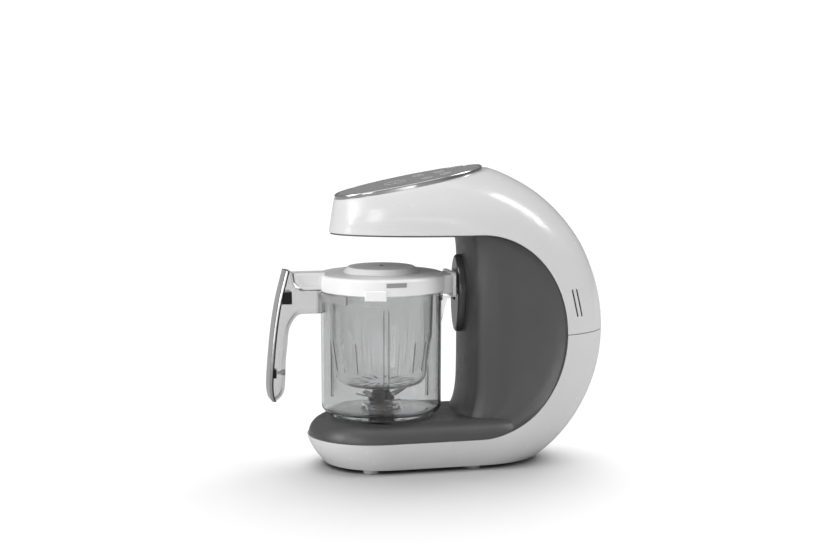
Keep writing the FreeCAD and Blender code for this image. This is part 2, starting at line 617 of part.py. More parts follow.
def make_drive():
    low = BELT_LOW_Z
    high = low + BELT_W + 3.2
    can = turned([(0, MOTOR_Z[0]), (MOTOR_R, MOTOR_Z[0], 2), (MOTOR_R, MOTOR_Z[1], 4), (0, MOTOR_Z[1])],
                 0, MOTOR_Y)
    neck = turned([(0, MOTOR_Z[0] - 3), (8, MOTOR_Z[0] - 3), (8, MOTOR_Z[0] + 1), (0, MOTOR_Z[0] + 1)],
                  0, MOTOR_Y)
    bore = rod(SHAFT_R + RUN_FIT, Vec(0, MOTOR_Y, 0), Vec(0, MOTOR_Y, MOTOR_Z[1] - 4))
    slots = []
    for i in range(8):
        slot = block((MOTOR_R - 3, MOTOR_R + 3), (-3, 3), (MOTOR_Z[1] - 26, MOTOR_Z[1] - 10))
        slot.rotate(Vec(0, 0, 0), Z_AXIS, 22.5 + 45 * i)
        slot.translate(Vec(0, MOTOR_Y, 0))
        slots.append(slot)
    save("motor", can.fuse(neck).cut(bore).cut(group(slots)).removeSplitter())
    bracket = turned([(9, MOTOR_Z[0] - 2.6), (28, MOTOR_Z[0] - 2.6), (28, MOTOR_Z[0] - 0.1),
                      (9, MOTOR_Z[0] - 0.1)], 0, MOTOR_Y)
    legs = []
    for x in (-1, 1):
        for y in (-1, 1):
            legs.append(Part.makeCylinder(3.2, MOTOR_Z[0] - 9.3, Vec(24 * x, MOTOR_Y + 22 * y, 6.7)))
            legs.append(block(sorted((18 * x, 26 * x)), sorted((MOTOR_Y + 14 * y, MOTOR_Y + 25 * y)),
                              (MOTOR_Z[0] - 2.6, MOTOR_Z[0] - 0.1)))
    save("motor_bracket", fused([bracket] + legs))
    shaft = rod(SHAFT_R, Vec(0, MOTOR_Y, 14), Vec(0, MOTOR_Y, MOTOR_Z[1] - 8))
    save("motor_shaft", shaft)
    save("motor_pulley", pulley(SMALL_PULLEY_R, low - 1.6, high - 1.6, MOTOR_Y, SHAFT_R))
    fan_hub = [(SHAFT_R, high + 0.4), (6, high + 0.4), (6, high + 8), (SHAFT_R, high + 8)]
    fan_disc = [(5.5, high + 0.4), (21, high + 0.4), (21, high + 1.6), (5.5, high + 1.6)]
    blades = [turned(fan_hub, 0, MOTOR_Y), turned(fan_disc, 0, MOTOR_Y)]
    for i in range(9):
        blade = block((5.5, 20.5), (-0.6, 0.6), (high + 1.2, high + 8))
        blade.rotate(Vec(0, 0, 0), Z_AXIS, 40 * i)
        blade.translate(Vec(0, MOTOR_Y, 0))
        blades.append(blade)
    save("cooling_fan", fused(blades))
    save("drive_pulley", pulley(LARGE_PULLEY_R, low - 1.6, high - 1.6, 0, 4.0))
    spindle = turned([(0, 12), (4, 12, 0.5), (4, 50), (0, 50)])
    save("drive_spindle", spindle)
    save("drive_belt", belt_loop(low, low + BELT_W))
    lower = turned([(4 + RUN_FIT, 10.5), (9, 10.5), (9, low - 1.9), (4 + RUN_FIT, low - 1.9)])
    upper = turned([(4 + RUN_FIT, high - 1.2), (SPINDLE_BUSH_R, high - 1.2), (SPINDLE_BUSH_R, SEAT_Z - 0.2),
                    (4 + RUN_FIT, SEAT_Z - 0.2)])
    save("spindle_bushes", group([lower, upper]))
    carrier = turned([(SPINDLE_BUSH_R + 0.05, 36), (26, 36), (26, 39), (SPINDLE_BUSH_R + 0.05, 39)])
    stands = []
    for bearing in (20, 160, 225, 315):
        piece = Part.makeCylinder(3.2, 29.6, Vec(33, 0, 6.7)).fuse(block((20, 33), (-3.2, 3.2), (36, 39)))
        piece.rotate(Vec(0, 0, 0), Z_AXIS, bearing)
        stands.append(piece)
    save("spindle_carrier", fused([carrier] + stands))
    foot = turned([(9.05, 6.7), (13, 6.7), (13, 9), (9.05, 14)])
    step = turned([(0, 6.7), (9.1, 6.7), (9.1, 10.4), (0, 10.4)])
    save("spindle_step", fused([foot, step]))
    save("drive_coupling", coupling_dog())


def belt_loop(low, high):
    """Flat belt round both pulleys, with straight runs tangent to them."""
    clear = 0.06
    faces = []
    for extra in (clear + BELT_T, clear):
        big = LARGE_PULLEY_R + extra
        small = SMALL_PULLEY_R + extra
        lean = math.asin((big - small) / MOTOR_Y)
        cos, sin = math.cos(lean), math.sin(lean)
        a = Vec(big * cos, big * sin, low)
        b = Vec(small * cos, MOTOR_Y + small * sin, low)
        c = Vec(-b.x, b.y, low)
        d = Vec(-a.x, a.y, low)
        edges = [Part.makeLine(a, b), Part.Arc(b, Vec(0, MOTOR_Y + small, low), c).toShape(),
                 Part.makeLine(c, d), Part.Arc(d, Vec(0, -big, low), a).toShape()]
        faces.append(Part.Face(Part.Wire(edges)).extrude(Vec(0, 0, high - low)))
    return faces[0].cut(faces[1])


def coupling_dog():
    """Six-lobed drive dog on the spindle's top."""
    body = turned([(4.05, SEAT_Z + 0.1), (9, SEAT_Z + 0.1), (9, SEAT_Z + 1.2), (5.2, SEAT_Z + 1.2),
                   (5.2, SEAT_Z + 6, 0.6), (0, SEAT_Z + 6), (0, 50.1), (4.05, 50.1)])
    lobes = []
    for i in range(6):
        lobe = block((4.4, 7.6), (-1.1, 1.1), (SEAT_Z + 1.1, SEAT_Z + 6))
        lobe.rotate(Vec(0, 0, 0), Z_AXIS, 60 * i)
        lobes.append(lobe)
    return fused([body] + lobes)


# ---- jar ----------------------------------------------------------------------------------
def handle_lug():
    """Clear web on the jar's front that the handle is fixed to."""
    return block((-7, 7), (-65, -57), (154, 172))


def make_jar():
    outer = turned([(0, SEAT_Z + 3.6), (45, SEAT_Z + 3.6), (45, SEAT_Z + 0.1), (48.5, SEAT_Z + 0.1, 0.8),
                    (50, SEAT_Z + 5.5, 1.0), (JAR_R - 0.6, SEAT_Z + 5.5, 7.0), (JAR_R, COLLAR_Z),
                    (JAR_R + 1.2, COLLAR_Z, 0.5), (JAR_R + 1.2, 172.6, 0.5), (JAR_R, 172.6),
                    (JAR_R, JAR_TOP_Z, 0.6), (0, JAR_TOP_Z)])
    inner = turned([(0, JAR_FLOOR_Z), (JAR_R - 3, JAR_FLOOR_Z, 6.0), (JAR_R - JAR_WALL, JAR_TOP_Z + 2),
                    (0, JAR_TOP_Z + 2)])
    boss = turned([(0, 48.6), (18.5, 48.6), (21, JAR_FLOOR_Z + 0.4), (18.5, 61, 1.5), (0, 61)])
    well = turned([(0, 40), (15.0, 40), (13.5, 57.5), (0, 57.5)])
    ribs = []
    for bearing in (80, 200, 320):
        rib = block((-1.3, 1.3), (-JAR_R + 1, -JAR_R + 5.4), (62, 158))
        rib.rotate(Vec(0, 0, 0), Z_AXIS, bearing)
        ribs.append(rib)
    lug = side_plate([(58, 138), (61, 138), (68, HOOK_Z[1]), (58, HOOK_Z[1])], -2.2, 2.2)
    hook = side_plate([(60, HOOK_Z[0]), (HOOK_Y, HOOK_Z[0], 0.8), (HOOK_Y, HOOK_Z[1]), (60, HOOK_Z[1])],
                      -2.2, 2.2)
    ledge = turned([(54.4, 176.6), (JAR_R - 1, 174.6), (JAR_R - 1, 178.4), (54.4, 178.4)])
    jar = fused([outer.cut(inner), boss, handle_lug(), ledge] + ribs + [lug, hook])
    jar = jar.cut(rod(STEAM_WAY_R + 0.5, Vec(0, 50, OUTLET_Z), Vec(0, 80, OUTLET_Z)))
    jar = jar.cut(well).cut(rod(4.6, Vec(0, 0, 40), Vec(0, 0, 70)))
    jar = jar.cut(turned([(0, 62.2), (53, 62.2), (53, 200), (0, 200)]))
    save("jar", jar)
    bush = turned([(SHAFT_R + RUN_FIT, 56.4), (8.5, 56.4), (8.5, 57.4), (4.55, 57.4), (4.55, 61.9),
                   (SHAFT_R + RUN_FIT, 61.9)])
    save("blade_bush", bush)


def spline(points, end_heading=None):
    """Smooth edge through (y, z) points, drawn in the middle plane."""
    curve = Part.BSplineCurve()
    through = [side(y, z) for y, z in points]
    if end_heading is None:
        curve.interpolate(Points=through)
    else:
        curve.interpolate(Points=through, InitialTangent=through[1] - through[0], FinalTangent=end_heading)
    return curve.toShape()


def handle_face(set_back=0.0):
    """Side outline of the handle and its arm, moved back by set_back."""
    y = HANDLE_FRONT_Y
    outer = spline([(y + 17.0, 196.5), (y + 9.9, 169.0), (y + 4.8, 139.0), (y + 1.2, 104.0), (y, 84.0),
                    (y + 0.9, 73.5), (y + 3.9, 67.8), (y + 8.8, 69.8), (y + 14.0, 76.2), (y + 15.9, 86.0),
                    (y + 17.0, 110.8), (y + 18.6, 124.0), (y + 21.5, 142.0), (y + 26.0, 149.4),
                    (y + 34.0, ARM_LOW_Z)], Y_AXIS * 8)
    arm_end_y = -50.0
    arm_low = side(arm_end_y, ARM_LOW_Z)
    arm_top = side(arm_end_y, ARM_TOP_Z)
    seat_start = side(-81.8, ARM_TOP_Z)
    seat_end = side(-90.2, 186.5)
    horn_top = side(-91.8, 195.6)
    edges = [outer, Part.makeLine(side(y + 34.0, ARM_LOW_Z), arm_low), Part.makeLine(arm_low, arm_top),
             Part.makeLine(arm_top, seat_start),
             Part.Arc(seat_start, side(-87.6, 179.6), seat_end).toShape(),
             Part.makeLine(seat_end, horn_top), Part.makeLine(horn_top, side(y + 17.0, 196.5))]
    face = Part.Face(Part.Wire(edges))
    face.translate(Vec(0, set_back, 0))
    return face


def slab(face, half):
    """Side outline given the width 2 * half."""
    wide = face.copy()
    wide.translate(Vec(-half, 0, 0))
    return wide.extrude(Vec(2 * half, 0, 0))


def side_edges(solid, y, z):
    """Edges of a slab's two outlines whose boxes lie inside the (low, high) limits."""
    found = []
    for edge in solid.Edges:
        box = edge.BoundBox
        inside = box.YMin > y[0] and box.YMax < y[1] and box.ZMin > z[0] and box.ZMax < z[1]
        if box.XLength < 0.01 and inside:
            found.append(edge)
    return found


def front_edges(trim):
    found = []
    for edge in trim.Edges:
        box = edge.BoundBox
        if box.XLength < 0.01 and box.ZLength > 60 and box.YMin < HANDLE_FRONT_Y + 0.5:
            found.append(edge)
    return found


def cradle_form():
    """Curved band that holds the handle's arm against the jar's collar."""
    inner_r = JAR_R + 1.5
    low, high = 165.4, LID_BOTTOM_Z - 0.5
    band = turned([(inner_r, low), (inner_r + 3.2, low, 0.8), (inner_r + 3.2, high, 0.8), (inner_r, high)])
    turn = math.radians(CRADLE_REACH)
    far = 150.0
    wedge = rounded_face([(0, 0), (far * math.sin(turn), -far * math.cos(turn)),
                          (-far * math.sin(turn), -far * math.cos(turn))], plan)
    return band.common(wedge.extrude(Vec(0, 0, 300)))


def make_handle():
    half = HANDLE_HALF_W
    whole = slab(handle_face(), half)
    trim = whole.cut(slab(handle_face(TRIM_T), 2 * half))
    trim = max(trim.Solids, key=lambda solid: solid.Volume)
    save("handle_trim", trim.makeFillet(TRIM_T * 0.9, front_edges(trim)))
    spine = slab(handle_face(TRIM_T), half - 0.9).common(whole)
    spine = spine.cut(slab(handle_face(TRIM_T + SPINE_T), 2 * half))
    save("handle_spine", max(spine.Solids, key=lambda solid: solid.Volume))
    narrow = half - 0.3
    grip = slab(handle_face(TRIM_T + SPINE_T), narrow).common(slab(handle_face(), narrow))
    grip = grip.removeSplitter()
    grip = grip.makeFillet(GRIP_ROUND, side_edges(grip, (-112, -40), (60, ARM_LOW_Z + 1)))
    jar_room = turned([(0, 100), (JAR_R + 1.5, 100), (JAR_R + 1.5, LID_BOTTOM_Z - 0.5),
                       (LID_R + 0.8, LID_BOTTOM_Z - 0.5), (LID_R + 0.8, 220), (0, 220)])
    grip = fused([grip.cut(jar_room), cradle_form()])
    grip = grip.cut(block((-7.2, 7.2), (-65.2, -50), (153.0, 172.2)))
    clip_half = half - 1.9
    clips = []
    for y, z in (((-101.2, -91.6), (163.8, 176.0)), ((-111.2, -107.4), (91.2, 100.6))):
        pocket = slab(handle_face(TRIM_T + SPINE_T), 2 * half).common(block((-20, 20), y, z))
        grip = grip.cut(pocket)
        clips.append(pocket.common(block((-clip_half, clip_half), y, z)))
    screw_start = -107.4
    screw_head = -99.0
    grip = grip.cut(rod(1.5, Vec(0, screw_start, GRIP_SCREW_Z), Vec(0, screw_head, GRIP_SCREW_Z)))
    grip = grip.cut(rod(2.9, Vec(0, screw_head - 3, GRIP_SCREW_Z), Vec(0, screw_head + 6, GRIP_SCREW_Z)))
    save("jar_handle", grip)
    save("handle_clips", group(clips))
    screw = fused([rod(1.5, Vec(0, screw_start, GRIP_SCREW_Z), Vec(0, screw_head - 2.5, GRIP_SCREW_Z)),
                   rod(2.7, Vec(0, screw_head - 3, GRIP_SCREW_Z), Vec(0, screw_head - 1.2, GRIP_SCREW_Z))])
    slot = block((-0.5, 0.5), (screw_head - 2.0, screw_head), (GRIP_SCREW_Z - 3, GRIP_SCREW_Z + 3))
    save("handle_screw", screw.cut(slot))


# ---- blades -------------------------------------------------------------------------------
def make_blades():
    shaft = rod(SHAFT_R, Vec(0, 0, 54.6), Vec(0, 0, 72))
    save("blade_shaft", shaft)
    dog = turned([(SHAFT_R, 54.6), (12.6, 54.6), (12.6, 56.2), (SHAFT_R, 56.2)])
    ring = turned([(9.2, 49.2), (12.6, 49.2), (12.6, 55), (9.2, 55)])
    teeth = []
    for i in range(6):
        tooth = block((6.6, 9.6), (-1.6, 1.6), (49.4, 55))
        tooth.rotate(Vec(0, 0, 0), Z_AXIS, 30 + 60 * i)
        teeth.append(tooth)
    save("blade_coupling", fused([dog, ring] + teeth))
    hub = turned([(SHAFT_R, 62.2), (12.5, 62.2, 1.0), (13.2, 66, 1.0), (9.5, 69.5, 1.0), (8.4, 74.0, 2.0),
                  (0, 74.0), (0, 72.1), (SHAFT_R, 72.1)])
    blades = []
    for low, lift, sweep in ((64.2, 3.5, 0), (67.2, 5.5, 90), (64.2, 3.5, 180), (67.2, 5.5, 270)):
        outline = rounded_face([(SHAFT_R + 0.4, -4.6), (15, -5.4), (31, -1.0, 1.0), (27, 5.2, 2.5),
                                (12, 5.0), (SHAFT_R + 0.4, 4.0)], plan)
        blade = outline.extrude(Vec(0, 0, 1.2))
        flat = blade.common(block((0, 13.6), (-20, 20), (-5, 5)))
        wing = blade.common(block((13.6, 60), (-20, 20), (-5, 5)))
        wing.rotate(Vec(13.6, 0, 0), Y_AXIS, -lift * 3)
        blade = fused([flat, wing])
        blade.translate(Vec(0, 0, low))
        blade.rotate(Vec(0, 0, 0), Z_AXIS, sweep + 20)
        blades.append(blade)
    save("blades", group(blades))
    save("blade_hub", hub.cut(group(blades)))


# ---- basket -------------------------------------------------------------------------------
def make_basket():
    top = BASKET_TOP_Z
    outer = turned([(0, BASKET_Z), (44.0, BASKET_Z, 12.0), (BASKET_R, 130), (52.0, top - 2.5),
                    (56.6, top - 2.5), (56.6, top), (0, top)])
    inner = turned([(0, BASKET_Z + 2), (42.5, BASKET_Z + 2, 10.5), (BASKET_R - 2, 130), (50.0, top + 1),
                    (0, top + 1)])
    basket = outer.cut(inner)
    cuts = []
    for i in range(20):
        slot = block((38, 60), (-1.5, 1.5), (96, 126))
        slot.rotate(Vec(0, 0, 0), Z_AXIS, 18 * i + 9)
        cuts.append(slot)
    for i in range(16):
        slot = block((14, 34), (-1.2, 1.2), (70, 90))
        slot.rotate(Vec(0, 0, 0), Z_AXIS, 22.5 * i)
        cuts.append(slot)
    basket = basket.cut(group(cuts))
    save("steamer_basket", basket)


# ---- lid ----------------------------------------------------------------------------------
def lid_tongue():
    """Hollow-sided tongue at the lid's front that rests in the handle's seat."""
    half = 9.5
    top = 193.6
    tongue = side_plate([(-60, ARM_TOP_Z + 0.9), (-80.2, ARM_TOP_Z + 0.9, 8.0), (-88.3, 184.6, 2.0),
                         (-89.4, top, 1.2), (-58, top)], -half, half)
    pocket = side_plate([(-64, ARM_TOP_Z + 4.2), (-78.6, ARM_TOP_Z + 4.2, 6.0), (-84.4, 185.6, 2.0),
                         (-85.0, top - 2.6, 1.0), (-64, top - 2.6)], half - 1.4, half + 1)
    return tongue.cut(pocket).cut(mirrored_x(pocket))


def lid_body():
    """Skirt, shallow top and raised centre as one turned shell."""
    skirt_in = JAR_R + 0.8
    top = LID_RIM_Z + 1.2
    return turned([(skirt_in, LID_BOTTOM_Z), (LID_R, LID_BOTTOM_Z, 0.8), (LID_R - 0.4, LID_RIM_Z, 3.0),
                   (41, top), (37.5, top), (33.0, DOME_Z, 2.0), (0, DOME_Z + 0.4), (0, DOME_Z - 2.0),
                   (31.5, DOME_Z - 2.3, 1.5), (35.6, top - 2.6), (41, top - 2.6),
                   (skirt_in, LID_RIM_Z - 2.4, 1.0)])


def lid_inlet():
    """Steam inlet at the lid's back: a neck through the skirt and a flange that faces the column."""
    neck = block((-14, 14), (57, 70), (169.0, 189.0))
    neck = neck.makeFillet(2.5, [e for e in neck.Edges if e.BoundBox.YLength > 10])
    flange = block((-20, 20), (68.6, FLANGE_Y), (166.5, 191.0))
    flange = flange.makeFillet(4.0, [e for e in flange.Edges if e.BoundBox.YLength > 1])
    return neck.fuse(flange)


def make_lid():
    skirt_in = JAR_R + 0.8
    body = lid_body()
    collar_room = JAR_R + 1.7
    inside = turned([(0, 100), (skirt_in, 100), (skirt_in, LID_RIM_Z), (0, LID_RIM_Z)])
    lower_void = turned([(0, 100), (collar_room, 100), (collar_room, LID_BOTTOM_Z - 0.1),
                         (0, LID_BOTTOM_Z - 0.1)])
    extras = fused([lid_tongue(), lid_inlet()]).cut(inside).cut(lower_void)
    tab = block((-10.5, 10.5), (-JAR_R - 4.6, -JAR_R - 1.8), (170.5, 180.8))
    tab = tab.makeFillet(1.2, [e for e in tab.Edges if e.BoundBox.YMax < -JAR_R - 4.5])
    tab.rotate(Vec(0, 0, 0), Z_AXIS, 72.0)
    lid = fused([body, extras, tab])
    duct = rod(STEAM_WAY_R, Vec(0, 50, OUTLET_Z), Vec(0, 90, OUTLET_Z))
    marker_slot = block((-10, 10), (-LID_R - 2, -LID_R + 1.0), MARKER_Z)
    marker_slot.rotate(Vec(0, 0, 0), Z_AXIS, MARKER_BEARING)
    vent = rod(1.5, Vec(0, 0, 180), Vec(0, 0, 200))
    save("lid", lid.cut(duct).cut(marker_slot).cut(vent))
    marker = block((-9.9, 9.9), (-LID_R + 0.2, -LID_R + 0.95), (MARKER_Z[0] + 0.1, MARKER_Z[1] - 0.1))
    marker.rotate(Vec(0, 0, 0), Z_AXIS, MARKER_BEARING)
    save("lid_marker", marker)
    seal = turned([(54.0, JAR_TOP_Z + 0.05), (JAR_R + 0.7, JAR_TOP_Z + 0.05), (JAR_R + 0.7, LID_RIM_Z),
                   (54.0, LID_RIM_Z)])
    save("lid_seal", max(seal.cut(body).Solids, key=lambda solid: solid.Volume))


# ---- small parts --------------------------------------------------------------------------
def make_interlock():
    plate_y = 92.6
    plate_end_y = 96.0
    switch_y = plate_end_y + PIN_TRAVEL + 0.9
    pin = fused([block((-2.6, 2.6), (HOOK_Y + 0.6, plate_end_y), (PIN_Z - 2, PIN_Z + 2)),
                 block((-6, 6), (plate_y, plate_end_y), (PIN_Z - 4, PIN_Z + 4))])
    save("interlock_pin", pin)
    switch = block((-10, 10), (switch_y, switch_y + 6), (PIN_Z - 8, PIN_Z + 4))
    bracket = block((-12, 12), (switch_y, switch_y + 1.6), (PIN_Z - 13, PIN_Z - 7.9))
    save("interlock_switch", fused([switch, bracket]))


def make_electrics():
    board = block((-30, 30), (46, 92), (35, 36.6))
    parts = [block((-24, -8), (52, 66), (36.5, 43)), block((4, 14), (56, 82), (36.5, 42)),
             block((18, 26), (52, 62), (36.5, 44.0))]
    legs = [Part.makeCylinder(2.5, 28.4, Vec(x, y, 6.7)) for x in (-26, 26) for y in (50, 88)]
    save("power_board", fused([board] + parts + legs))
    end_y = 176.6
    gland = fused([rod(GLAND_R, Vec(GLAND_X, 158, GLAND_Z), Vec(GLAND_X, end_y + 1.5, GLAND_Z)),
                   rod(GLAND_R + 1.8, Vec(GLAND_X, 156, GLAND_Z), Vec(GLAND_X, 159.5, GLAND_Z))])
    gland = gland.cut(rod(3.2, Vec(GLAND_X, 150, GLAND_Z), Vec(GLAND_X, 190, GLAND_Z)))
    save("cord_gland", gland)


def main():
    os.makedirs("parts", exist_ok=True)
    make_shells()
    make_base()
    make_inner_cover()
    make_panel()
    make_steam_parts()
    make_water_parts()
    make_drive()
    make_jar()
    make_handle()
    make_blades()
    make_basket()
    make_lid()
    make_interlock()
    make_electrics()


main()
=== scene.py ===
import json
import math

import bmesh
import bpy
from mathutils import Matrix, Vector


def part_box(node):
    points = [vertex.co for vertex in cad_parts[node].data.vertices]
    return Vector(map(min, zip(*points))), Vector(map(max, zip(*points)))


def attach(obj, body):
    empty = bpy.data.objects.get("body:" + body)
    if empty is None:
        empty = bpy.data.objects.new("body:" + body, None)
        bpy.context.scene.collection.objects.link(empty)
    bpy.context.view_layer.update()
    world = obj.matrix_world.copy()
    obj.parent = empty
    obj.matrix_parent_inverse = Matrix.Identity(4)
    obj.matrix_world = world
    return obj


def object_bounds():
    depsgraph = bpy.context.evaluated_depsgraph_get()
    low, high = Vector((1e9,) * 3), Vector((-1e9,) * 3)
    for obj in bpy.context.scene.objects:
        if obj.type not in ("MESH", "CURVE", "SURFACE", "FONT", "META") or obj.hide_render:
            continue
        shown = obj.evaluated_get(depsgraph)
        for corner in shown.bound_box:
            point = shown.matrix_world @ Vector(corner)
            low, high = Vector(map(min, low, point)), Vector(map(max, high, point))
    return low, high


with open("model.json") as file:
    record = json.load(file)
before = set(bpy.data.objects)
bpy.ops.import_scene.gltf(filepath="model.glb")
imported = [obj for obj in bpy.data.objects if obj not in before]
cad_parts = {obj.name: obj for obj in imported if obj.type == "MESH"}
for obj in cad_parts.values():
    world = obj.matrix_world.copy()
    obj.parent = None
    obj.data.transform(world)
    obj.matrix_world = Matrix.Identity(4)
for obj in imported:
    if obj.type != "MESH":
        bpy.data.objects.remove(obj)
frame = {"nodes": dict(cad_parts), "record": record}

# Baby food maker: finishes, small details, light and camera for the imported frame.
# Metres, +Z up, the jar's handle faces -Y.

MM = 0.001
cad_low, cad_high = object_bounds()

# ---- camera, as seen from the jar's axis ----
CAMERA_AZIMUTH = math.radians(76.62)     # from the front (-Y) towards +X
CAMERA_DISTANCE = 1.772
CAMERA_HEIGHT = 0.4078
CAMERA_YAW = math.radians(1.006)         # turned a little past the jar's axis
CAMERA_PITCH = math.radians(7.06)        # looking down
CAMERA_LENS = 78.8
CAMERA_SENSOR = 36.0
CAMERA_SEES_TO = 100.0

# ---- light and floor ----
BACKDROP = 1.1                   # surround as seen directly or through clear pieces
WORLD_LOW = 0.15                 # surround as a light, at the horizon
WORLD_HIGH = 0.50                # and overhead
WORLD_HIGH_AT = 0.75             # where it becomes brightest, as the sine of the elevation
FLOOR_HALF = 30.0
FLOOR_SUN = 3.3
FLOOR_SUN_ANGLE = 70
FLOOR_SUN_TILT = (-16, -24)      # leans the shadow towards the front and the camera's side
FLOOR_TONE = 0.80
FLOOR_MIRRORED = 0.36            # the floor's tone in reflections, so that bright trim keeps its contrast
SOFT_BOXES = (                   # name, place from the object's centre, size, watts
    ("overhead", (0.1, -0.3, 1.6), (1.1, 1.5), 5),
    ("front_strip", (0.4, -1.8, 0.4), (0.3, 1.1), 6),
    ("front_box", (0.35, -1.7, 0.8), (0.9, 1.3), 11),
    ("side_fill", (2.2, -0.3, 0.0), (1.4, 0.5), 4),
    ("key_box", (1.27, -1.27, 0.3), (0.45, 1.0), 6),
    ("back_box", (0.5, 1.5, 1.5), (0.5, 1.4), 20),
)

# ---- how wide each node's sharp edges are softened, in mm ----
SOFT_EDGES = {
    "upper_shell": 0.5, "lower_shell": 0.5, "head_underplate": 0.2, "inner_cover": 0.3,
    "jar_handle": 0.4, "handle_spine": 0.3, "handle_clips": 0.3, "steam_boss": 0.3, "water_tank": 0.4,
    "lid_marker": 0.1, "blade_hub": 0.3, "blades": 0.15, "tank_cap": 0.3,
}
SHARP_ANGLE = math.radians(40)
SOFT_SEGMENTS = 2
WELD_DISTANCE = 0.00002
FLAT_FACE_WEIGHT = 80

# ---- finishes ----
CLOUD_NOISE = (38, 3)            # scale and detail of the soft variation of the colour
GLOSS_NOISE = (170, 5)           # and of the finer variation of the gloss
RELIEF_DETAIL = 3
NOISE_SPAN = (0.3, 0.7)          # where most of the noise's values lie
OWN_FINISH = {                   # nodes whose finish isn't their slot's
    "steamer_basket": "basket_clear", "steam_boss": "boss_gloss", "handle_trim": "trim_chrome",
}

# ---- moulded beads down the jar; heights in metres, small sizes in mm ----
BEAD_BEARINGS = (79.2, 83.8)     # degrees round the jar from the handle
BEAD_LOW_Z = 0.0575
BEAD_HIGH_Z = 0.1632
BEAD_LEVELS = 24
BEAD_ARC = 6                     # faces round a bead's half section
BEAD_TAPER = 14                  # each end fades out over 1 / BEAD_TAPER of the length
BEAD_RISE = 0.42
BEAD_HALF_W = 0.34
COLLAR_PROUD = 1.2               # how far the jar's collar stands out from the wall just below it
WALL_TAPER = 0.6                 # how much the wall's radius is less at the beads' lower end
BEAD_SUNK_LOW = 0.75             # that taper and 0.15 more, by which a bead's foot is sunk in the wall

# ---- touch keys, and a vent disc whose dark grey is painted shade of the vent hole, in mm where not said otherwise ----
RING_SIDES = 48
KEYS = (                         # place from the panel's centre in metres, outer radius in mm
    (0.0, -0.014, 11.0), (-0.017, 0.014, 5.6), (0.017, 0.014, 5.6), (-0.012, 0.034, 5.6),
    (0.012, 0.034, 5.6),
)
KEY_LINE_W = 0.45
KEY_RISE = 0.09
KEY_DOT_R = 0.8
KEY_DOT_SIDES = 20
VENT_DISC_R = 2.3
VENT_DISC_RISE = 0.5
VENT_DISC_SIDES = 32
BESIDE_VENT = 3                  # from the lid's centre to a place on its top beside the vent hole


def middle(node):
    """Centre of a node's box."""
    low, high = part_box(node)
    return (low + high) / 2


# ---- materials ----
def noise(tree, scale, detail, stretch=(1, 1, 1)):
    """Noise in the object's own metres, optionally stretched."""
    place = tree.nodes.new("ShaderNodeTexCoord")
    spread = tree.nodes.new("ShaderNodeMapping")
    spread.inputs["Scale"].default_value = stretch
    texture = tree.nodes.new("ShaderNodeTexNoise")
    texture.inputs["Scale"].default_value = scale
    texture.inputs["Detail"].default_value = detail
    tree.links.new(place.outputs["Object"], spread.inputs["Vector"])
    tree.links.new(spread.outputs["Vector"], texture.inputs["Vector"])
    return texture.outputs["Fac"]


def ranged(tree, value, low, high):
    """Map a noise value onto low..high."""
    node = tree.nodes.new("ShaderNodeMapRange")
    node.inputs["From Min"].default_value = NOISE_SPAN[0]
    node.inputs["From Max"].default_value = NOISE_SPAN[1]
    node.inputs["To Min"].default_value = low
    node.inputs["To Max"].default_value = high
    tree.links.new(value, node.inputs["Value"])
    return node.outputs["Result"]


def blended(tree, value, dark, light):
    """Colour between two colours by a noise value."""
    node = tree.nodes.new("ShaderNodeMix")
    node.data_type = "RGBA"
    node.inputs["A"].default_value = (*dark, 1)
    node.inputs["B"].default_value = (*light, 1)
    tree.links.new(ranged(tree, value, 0, 1), node.inputs["Factor"])
    return node.outputs["Result"]


def surface(name, color, roughness, vary, grain, relief, depth, stretch=(1, 1, 1), gloss_vary=0.15,
            **sockets):
    """Moulded or machined surface: its colour and gloss vary a little and it has a fine relief.

    vary and gloss_vary are shares of the colour and the roughness. grain is the relief's noise scale, relief
    its strength and depth its height in metres. sockets are values for the shader's own sockets.
    """
    made = bpy.data.materials.new(name)
    made.use_nodes = True
    tree = made.node_tree
    shader = tree.nodes["Principled BSDF"]
    for socket, value in sockets.items():
        shader.inputs[socket.replace("_", " ")].default_value = value
    cloud = noise(tree, *CLOUD_NOISE)
    dark = [c * (1 - vary) for c in color]
    light = [min(1, c * (1 + vary)) for c in color]
    tree.links.new(blended(tree, cloud, dark, light), shader.inputs["Base Color"])
    fine = noise(tree, *GLOSS_NOISE)
    gloss = ranged(tree, fine, roughness * (1 - gloss_vary), roughness * (1 + gloss_vary))
    tree.links.new(gloss, shader.inputs["Roughness"])
    bump = tree.nodes.new("ShaderNodeBump")
    bump.inputs["Strength"].default_value = relief
    bump.inputs["Distance"].default_value = depth
    tree.links.new(noise(tree, grain, RELIEF_DETAIL, stretch), bump.inputs["Height"])
    tree.links.new(bump.outputs["Normal"], shader.inputs["Normal"])
    return made


def grey(value, tint=0.0):
    """Neutral colour, with a touch more blue when tint is above 0."""
    return (value * (1 - tint), value, value * (1 + tint))


